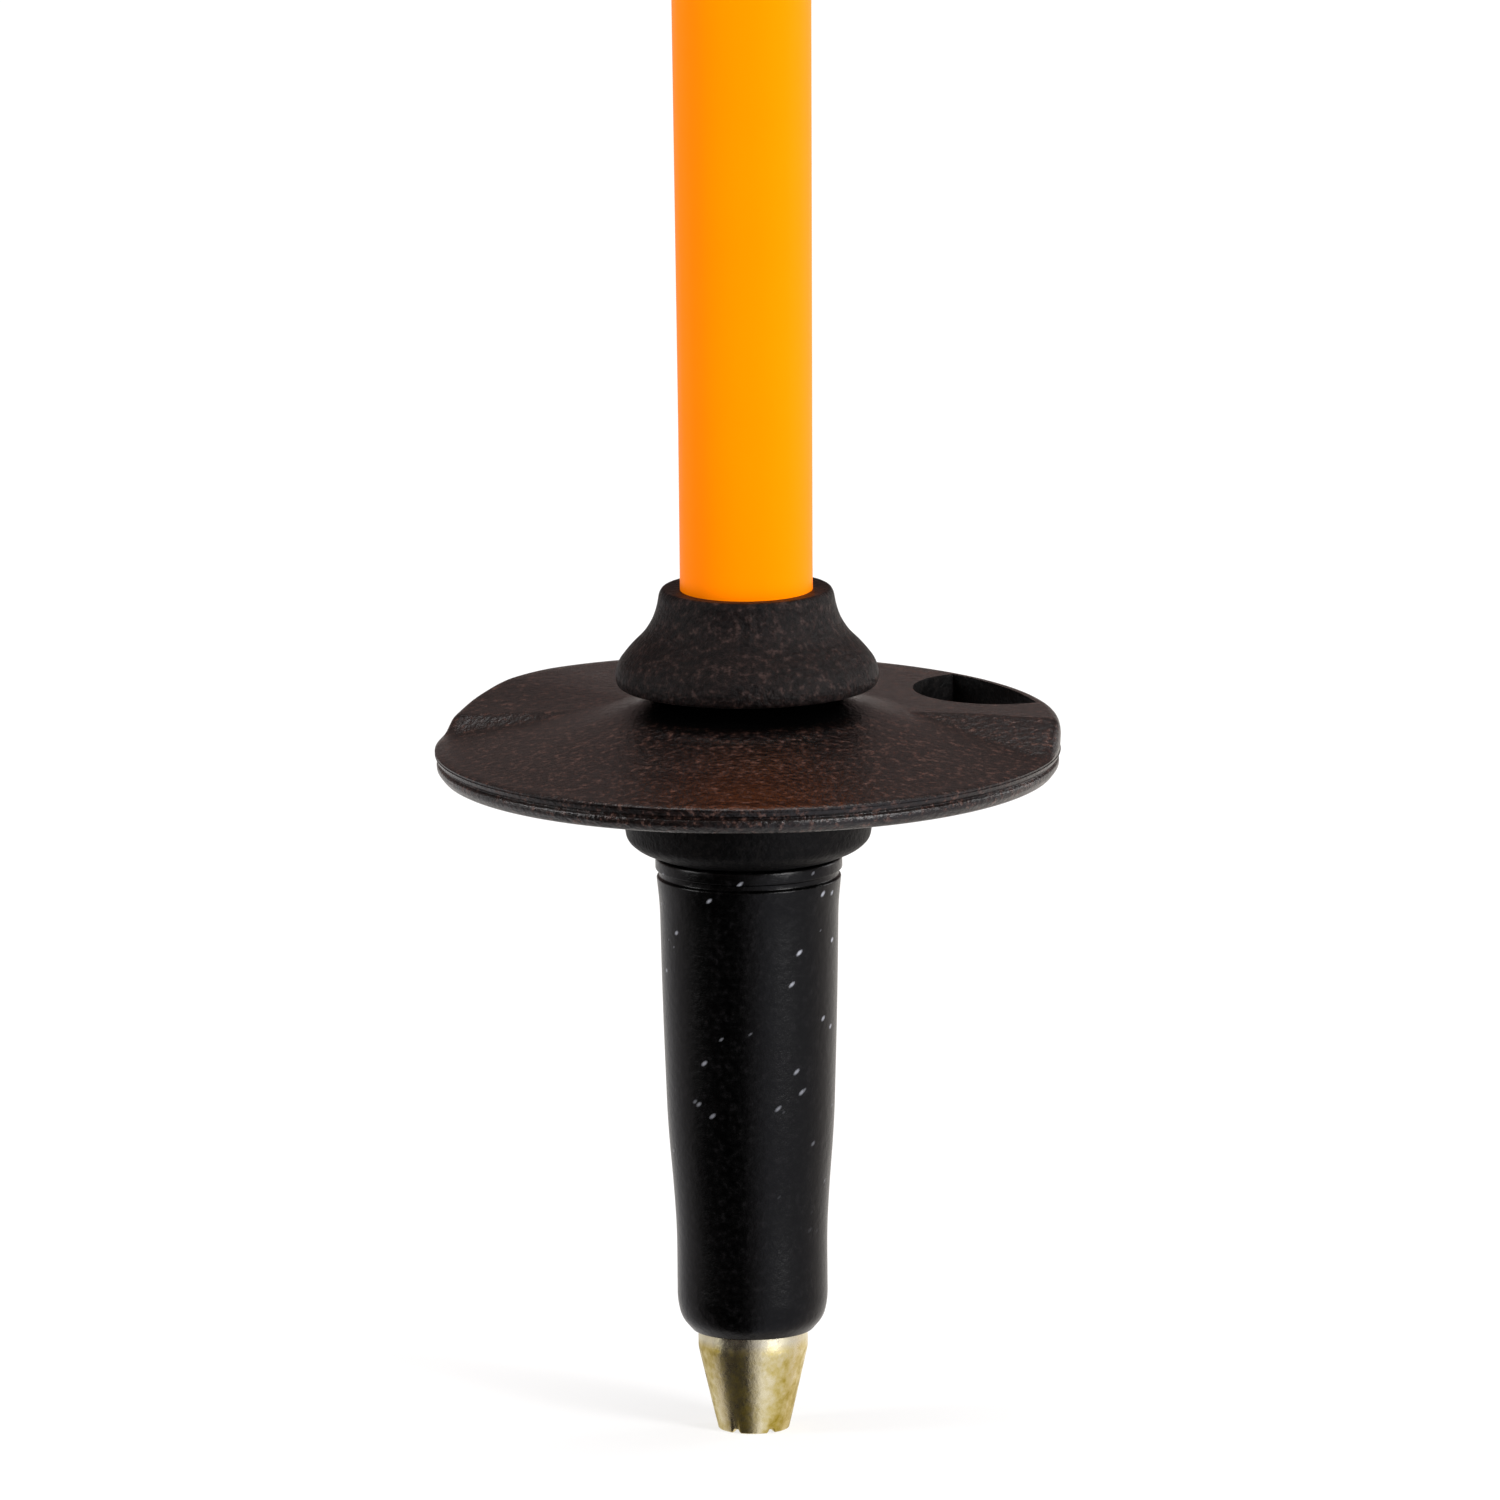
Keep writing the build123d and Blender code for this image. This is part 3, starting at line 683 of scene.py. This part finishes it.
seats, seat_faces = [], []
for row in range(PAD_ROWS):
    z = PAD_FIRST_Z + PAD_PITCH * row
    for column in range(PAD_COLUMNS):
        share = (column + 0.5 * (row % 2)) / PAD_COLUMNS
        angle = PAD_FIRST_TURN + share * (2 * math.pi - 2 * PAD_FIRST_TURN)
        start = len(seats)
        for da, dz in ((-0.02, -0.3), (0.02, -0.3), (0.02, 0.3), (-0.02, 0.3)):
            seats.append(sleeve_point(angle + da, z + dz, 0.25) * MM)
        seat_faces.append(tuple(range(start, start + 4)))
seat_mesh = bpy.data.meshes.new("pad_seats")
seat_mesh.from_pydata(seats, [], seat_faces)

PAD_SIZES = {"Pad_radius": 0.00155, "Pad_top": 0.00105, "Pad_height": 0.00075}
pads_tree, given, out = node_group("raised_pads", **PAD_SIZES)
facing = add_node(pads_tree, "GeometryNodeInputNormal")
kept = pads_tree.nodes.new("GeometryNodeCaptureAttribute")
kept.domain = "FACE"
kept.capture_items.new("VECTOR", "Facing")
pads_tree.links.new(given.outputs["Geometry"], kept.inputs["Geometry"])
pads_tree.links.new(facing.outputs["Normal"], kept.inputs["Facing"])
spots = add_node(pads_tree, "GeometryNodeMeshToPoints", {"mode": "FACES"},
                 {"Mesh": kept.outputs["Geometry"]})
turn = add_node(pads_tree, "FunctionNodeAlignRotationToVector", {"axis": "Z"},
                {"Vector": kept.outputs["Facing"]})
pad = add_node(pads_tree, "GeometryNodeMeshCone", None,
               {"Vertices": 8, "Radius Bottom": given.outputs["Pad radius"],
                "Radius Top": given.outputs["Pad top"], "Depth": given.outputs["Pad height"]})
rows = add_node(pads_tree, "GeometryNodeInstanceOnPoints", None,
                {"Points": spots.outputs["Points"], "Instance": pad.outputs["Mesh"],
                 "Rotation": turn.outputs["Rotation"]})
real = add_node(pads_tree, "GeometryNodeRealizeInstances", None, {"Geometry": rows.outputs["Instances"]})
dressed = add_node(pads_tree, "GeometryNodeSetMaterial", None,
                   {"Geometry": real.outputs["Geometry"], "Material": rubber})
pads_tree.links.new(dressed.outputs["Geometry"], out.inputs["Geometry"])
pads = grown("raised_pads", seat_mesh, pads_tree, **PAD_SIZES)

sleeve_mesh = skin("grip_rubber", [sleeve_ring(2 * math.pi * turn / 144) for turn in range(144)])
work = bmesh.new()
work.from_mesh(sleeve_mesh)
work.from_mesh(pads)
work.to_mesh(sleeve_mesh)
work.free()
sleeve_mesh.materials.clear()
sleeve = to_object("rubber_sleeve", sleeve_mesh, rubber)
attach(sleeve, "pole")
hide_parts("grip_sleeve")

# ---- wrist strap
# One length of herringbone polyester webbing, 20 mm wide: an eye round the pin, a doubled
# neck sewn through, and a hanging loop for the hand. Its edges are woven a little tighter.
PIN = Vector((-15.0, 1180.0))
NECK_TURN = math.radians(37)
NECK_LENGTH = 44.0
WEB_HALF = 10.0
WEB_THICK = 1.5
LAYER = 0.8
EYE_R = 2.85
EYE_LENGTH = 9.0
LOOP_TOP_R = 2.2
LOOP_FOOT = Vector((-62.0, 1008.0))
LOOP_FOOT_R = 28.2
LOOP_BOW = 2.0
along = Vector((-math.cos(NECK_TURN), -math.sin(NECK_TURN)))
upward = Vector((along.y, -along.x))
neck_end = PIN + along * NECK_LENGTH
down = (LOOP_FOOT - neck_end).normalized()
leftward = Vector((down.y, -down.x))
lean = (LOOP_FOOT_R - LOOP_TOP_R) / (LOOP_FOOT - neck_end).length
out_left = leftward * math.sqrt(1 - lean ** 2) - down * lean
out_right = -leftward * math.sqrt(1 - lean ** 2) - down * lean

route = []
for step in range(17):
    turn = math.pi * step / 16
    spot = PIN + EYE_R * (upward * math.cos(turn) - along * math.sin(turn))
    route.append((spot.x, spot.y, 0))
neck_start = PIN + along * EYE_LENGTH
route.append((*(neck_start - upward * LAYER), 3))
right_top = neck_end + Vector((2.14, 0.6))
left_top = neck_end + Vector((-2.4, -0.8))
route.append((*right_top, 5))
right_foot = LOOP_FOOT + out_right * LOOP_FOOT_R
for step in range(1, 10):
    spot = right_top.lerp(right_foot, step / 10) + out_right * LOOP_BOW * math.sin(math.pi * step / 10)
    route.append((*spot, 6))
first = math.atan2(out_right.y, out_right.x)
last = math.atan2(out_left.y, out_left.x) - 2 * math.pi
for step in range(49):
    turn = first + (last - first) * step / 48
    route.append((
        LOOP_FOOT.x + LOOP_FOOT_R * math.cos(turn), LOOP_FOOT.y + LOOP_FOOT_R * math.sin(turn), 1,
    ))
left_foot = LOOP_FOOT + out_left * LOOP_FOOT_R
for step in range(1, 10):
    spot = left_foot.lerp(left_top, step / 10) + out_left * LOOP_BOW * math.sin(math.pi * step / 10)
    route.append((*spot, 6))
route.append((*left_top, 5))
route.append((*(neck_start + upward * LAYER), 3))
path = [Vector(p) for p in soften(route, 4)]
path = [p for number, p in enumerate(path) if (p - path[number - 1]).length > 0.02]
outward, walked = [], [0.0]
for number, p in enumerate(path):
    ahead = path[(number + 1) % len(path)] - path[number - 1]
    outward.append(Vector((-ahead.y, ahead.x)).normalized())
    walked.append(walked[-1] + (path[(number + 1) % len(path)] - p).length)


def strip(name, stations, profile_at, closed):
    """Sweeps a flat profile of (across, out) points in mm along the strap, with a UV map in metres."""
    rings = []
    for number in stations:
        ring = []
        for across, out in profile_at(number):
            spot = path[number] + outward[number] * out
            ring.append((spot.x * MM, across * MM, spot.y * MM))
        rings.append(ring)
    count = len(rings[0])
    faces, uvs = [], []
    for turn in range(len(rings) if closed else len(rings) - 1):
        a, b = turn * count, (turn + 1) % len(rings) * count
        start = walked[stations[turn]] * MM
        end = walked[stations[turn] + 1] * MM
        for step in range(count):
            nxt = (step + 1) % count
            faces.append((a + step, b + step, b + nxt, a + nxt))
            near, far = rings[turn][step][1], rings[turn][nxt][1]
            uvs += [(near, start), (near, end), (far, end), (far, start)]
    if not closed:
        faces += [tuple(range(count))[::-1], tuple(range(len(rings) * count - count, len(rings) * count))]
        uvs += [(0.0, 0.0)] * 2 * count
    mesh = bpy.data.meshes.new(name)
    mesh.from_pydata([spot for ring in rings for spot in ring], [], faces)
    layer = mesh.uv_layers.new(name="UVMap")
    for corner, uv in zip(layer.data, uvs):
        corner.uv = uv
    return mesh


def web_profile(number):
    """The webbing's section: flat, round at the edges, with a line inside each selvedge."""
    upper = []
    for step in range(-11, 12):
        across = math.sin(math.pi / 2 * step / 11)
        half = WEB_THICK / 2 * math.sqrt(max(0.0, 1 - abs(across) ** 16))
        half -= 0.14 * math.exp(-(((abs(across) - 0.84) / 0.03) ** 2))
        upper.append((WEB_HALF * across, half))
    return upper + [(across, -half) for across, half in upper[-2:0:-1]]


webbing, webbing_shader = new_material("woven_polyester_webbing", Roughness=0.8)
webbing_shader.inputs["Specular IOR Level"].default_value = 0.25
webbing_shader.inputs["Sheen Weight"].default_value = 0.25
RIB_PITCH = 1.5
HERRINGBONE_HALF = 2.5
place = add_node(webbing, "ShaderNodeTexCoord")
axes = add_node(webbing, "ShaderNodeSeparateXYZ", links={"Vector": place.outputs["UV"]})
zigzag = add_node(webbing, "ShaderNodeMath", {"operation": "PINGPONG"},
                  {0: axes.outputs["X"], 1: HERRINGBONE_HALF * MM})
slant = add_node(webbing, "ShaderNodeMath", {"operation": "ADD"},
                 {0: zigzag.outputs["Value"], 1: axes.outputs["Y"]})
ribs = add_node(webbing, "ShaderNodeMath", {"operation": "MULTIPLY"},
                {0: slant.outputs["Value"], 1: 2 * math.pi / (RIB_PITCH * MM)})
rib = add_node(webbing, "ShaderNodeMath", {"operation": "SINE"}, {0: ribs.outputs["Value"]})
level = add_node(webbing, "ShaderNodeMapRange", links={"Value": rib.outputs["Value"]},
                 From_Min=-1.0, From_Max=1.0)
fibre = noise(webbing, 2200.0, 3.0)
weave = add_node(webbing, "ShaderNodeMix", links={"Factor": 0.3, "A": level.outputs["Result"],
                                                  "B": fibre})
tinted(webbing, webbing_shader, weave.outputs["Result"], [(0.2, "#0C0C0E"), (0.8, "#2C2C31")])
embossed(webbing, webbing_shader, weave.outputs["Result"], 0.8, 0.0003)

strap_mesh = strip("strap_webbing_strip", list(range(len(path))), web_profile, True)
strap = to_object("webbing_strap", strap_mesh, webbing, 60)
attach(strap, "strap")
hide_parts("strap_webbing")

# ---- strap lining
# Thin foam under brushed knit, sewn to the inside of the loop's foot where the hand bears.
# It is crowned across, pulled down by a seam near each edge, and thins out at its two ends.
LINING_TOP_Z = 1063.0
LINING_HALF = 9.4
LINING_CROWN = 2.0
LINING_EDGE = 0.7
LINING_SEAM = 0.8
CHANNEL_PITCH = 23.0
lined = [number for number, p in enumerate(path) if p.y < LINING_TOP_Z]


def lining_profile(number):
    """The lining's section: flat on the webbing, crowned towards the hand, with seams."""
    ends = min(walked[number] - walked[lined[0]], walked[lined[-1]] - walked[number])
    full = math.sqrt(1 - (1 - min(1.0, (ends + 0.3) / 8)) ** 2)
    middle = (walked[lined[0]] + walked[lined[-1]]) / 2
    channel = abs((walked[number] - middle) / CHANNEL_PITCH % 1 - 0.5) * CHANNEL_PITCH
    pinch = 0.55 * math.exp(-((channel / 1.1) ** 2))
    inner = []
    for step in range(-13, 14):
        across = math.sin(math.pi / 2 * step / 13)
        height = LINING_EDGE * (1 - abs(across) ** 10) + LINING_CROWN * (1 - across ** 2) ** 0.8
        height -= 0.5 * math.exp(-(((abs(across) - LINING_SEAM) / 0.06) ** 2))
        height = max(0.12, height * (1 - pinch * (1 - across ** 6))) * full
        inner.append((LINING_HALF * across, -WEB_THICK / 2 - 0.03 - height))
    return [(across, -WEB_THICK / 2 - 0.02) for across in (LINING_HALF, -LINING_HALF)] + inner


fleece, fleece_shader = new_material("brushed_knit_lining", Roughness=0.95)
fleece_shader.inputs["Specular IOR Level"].default_value = 0.15
fleece_shader.inputs["Sheen Weight"].default_value = 0.5
pile = noise(fleece, 1500.0, 6.0, 0.7)
tinted(fleece, fleece_shader, pile, [(0.3, "#26262A"), (0.7, "#4A4A50")])
embossed(fleece, fleece_shader, pile, 0.7, 0.0004)

lining = to_object("padded_lining", strip("padded_lining", lined, lining_profile, False), fleece, 60)
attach(lining, "strap")
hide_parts("strap_pad")

# ---- strap stitching
# Bonded thread, a shade lighter than the webbing: a box with a cross through the doubled
# neck, a bar beside the eye, and one row along each edge of the lining.
THREAD_OUT = WEB_THICK / 2 + 0.04
BOX_START = 25.5
BOX_END = 40.0
BOX_HALF = 6.8
BAR_AT = 10.8
lines = []
for side in (-1, 1):
    lines.append([(path[n] + outward[n] * THREAD_OUT, side * 7.6) for n in lined[2:-2]])
    face = upward * side * (LAYER + THREAD_OUT)
    box = [(BOX_START, -BOX_HALF), (BOX_START, BOX_HALF), (BOX_END, BOX_HALF), (BOX_END, -BOX_HALF)]
    for start, end in zip(box + [box[0], box[1]], box[1:] + [box[0], box[2], box[3]]):
        lines.append([(PIN + along * start[0] + face, start[1]), (PIN + along * end[0] + face, end[1])])
    lines.append([(PIN + along * BAR_AT + face, -BOX_HALF), (PIN + along * BAR_AT + face, BOX_HALF)])
thread_points, thread_edges = [], []
for line in lines:
    start = len(thread_points)
    thread_points += [(spot.x * MM, across * MM, spot.y * MM) for spot, across in line]
    thread_edges += [(start + step, start + step + 1) for step in range(len(line) - 1)]
thread_mesh = bpy.data.meshes.new("stitch_lines")
thread_mesh.from_pydata(thread_points, thread_edges, [])

thread, thread_shader = new_material("bonded_polyester_thread", Base_Color=linear("#6C6D74"), Roughness=0.6)
thread_shader.inputs["Sheen Weight"].default_value = 0.3
tinted(thread, thread_shader, noise(thread, 3000.0, 2.0), [(0.3, "#55565C"), (0.7, "#7E7F87")])

STITCH_SIZES = {"Pitch": 0.0024, "Half_length": 0.00098, "Half_width": 0.00026}
stitch_tree, given, out = node_group("stitches", **STITCH_SIZES)
curve = add_node(stitch_tree, "GeometryNodeMeshToCurve", None, {"Mesh": given.outputs["Geometry"]})
evenly = add_node(stitch_tree, "GeometryNodeResampleCurve", {"mode": "LENGTH"},
                  {"Curve": curve.outputs["Curve"], "Length": given.outputs["Pitch"]})
tangent = add_node(stitch_tree, "GeometryNodeInputTangent")
lie = add_node(stitch_tree, "FunctionNodeAlignRotationToVector", {"axis": "Z"},
               {"Vector": tangent.outputs["Tangent"]})
bead = add_node(stitch_tree, "GeometryNodeMeshUVSphere", None, {"Segments": 6, "Rings": 4, "Radius": 1.0})
size = add_node(stitch_tree, "ShaderNodeCombineXYZ", None,
                {"X": given.outputs["Half width"], "Y": given.outputs["Half width"],
                 "Z": given.outputs["Half length"]})
sewn = add_node(stitch_tree, "GeometryNodeInstanceOnPoints", None,
                {"Points": evenly.outputs["Curve"], "Instance": bead.outputs["Mesh"],
                 "Rotation": lie.outputs["Rotation"], "Scale": size.outputs["Vector"]})
real = add_node(stitch_tree, "GeometryNodeRealizeInstances", None, {"Geometry": sewn.outputs["Instances"]})
dressed = add_node(stitch_tree, "GeometryNodeSetMaterial", None,
                   {"Geometry": real.outputs["Geometry"], "Material": thread})
stitch_tree.links.new(dressed.outputs["Geometry"], out.inputs["Geometry"])
stitch_mesh = grown("stitches", thread_mesh, stitch_tree, **STITCH_SIZES)
stitch_mesh.materials.clear()
stitching = to_object("strap_stitching", stitch_mesh, thread, 80)
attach(stitching, "strap")

# ---- hard mouldings of the grip and the strap
# Glass-filled nylon with a fine spark-eroded texture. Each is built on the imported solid, and
# every edge is rounded as a mould rounds it.
moulded, moulded_shader = new_material("spark_eroded_nylon", Base_Color=linear("#161617"), Roughness=0.5)
moulded_shader.inputs["Specular IOR Level"].default_value = 0.4
tinted(moulded, moulded_shader, noise(moulded, 220.0, 4.0), [(0.35, "#131314"), (0.7, "#1C1C1E")])
embossed(moulded, moulded_shader, noise(moulded, 1600.0, 3.0), 0.25, 0.0002)


def rounded_copy(node, name, cell, passes):
    """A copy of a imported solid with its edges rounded, on a grid of cells this many mm wide."""
    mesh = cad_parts[node].data.copy()
    work = bmesh.new()
    work.from_mesh(mesh)
    bmesh.ops.remove_doubles(work, verts=work.verts, dist=1e-6)
    work.to_mesh(mesh)
    work.free()
    blank = bpy.data.objects.new(name + "_blank", mesh)
    bpy.context.scene.collection.objects.link(blank)
    grid = blank.modifiers.new("grid", "REMESH")
    grid.mode = "VOXEL"
    grid.voxel_size = cell * MM
    tumble = blank.modifiers.new("tumble", "SMOOTH")
    tumble.factor = 0.5
    tumble.iterations = passes
    soft = bpy.data.meshes.new_from_object(blank.evaluated_get(bpy.context.evaluated_depsgraph_get()))
    bpy.data.objects.remove(blank)
    soft.materials.clear()
    piece = to_object(name, soft, moulded, 70)
    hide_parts(node)
    return piece


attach(rounded_copy("grip_head", "moulded_head", 0.4, 8), "pole")
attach(rounded_copy("grip_cap", "moulded_cap", 0.35, 6), "pole")
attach(rounded_copy("strap_slider", "moulded_slider", 0.22, 6), "slider")

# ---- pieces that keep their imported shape
# The shaft, the insert and the plain hidden mouldings only take a material here. So do the
# pin and the screw, which are turned steel with faint tool marks.
steel, steel_shader = new_material(
    "turned_steel", Base_Color=linear("#B9BABC"), Metallic=1.0, Roughness=0.3,
)
embossed(steel, steel_shader, noise(steel, 1200.0, 3.0), 0.2, 0.0001)
FINISHES = {
    "shaft": lacquer, "carbide_insert": carbide, "shaft_top_plug": moulded, "grip_liner": moulded,
    "grip_mouth_ring": moulded, "cap_screw": steel, "screw_cover": moulded, "strap_pin": steel,
}
for node_name, finish in FINISHES.items():
    node_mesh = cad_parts[node_name].data
    node_mesh.materials.clear()
    node_mesh.materials.append(finish)

bpy.context.view_layer.update()
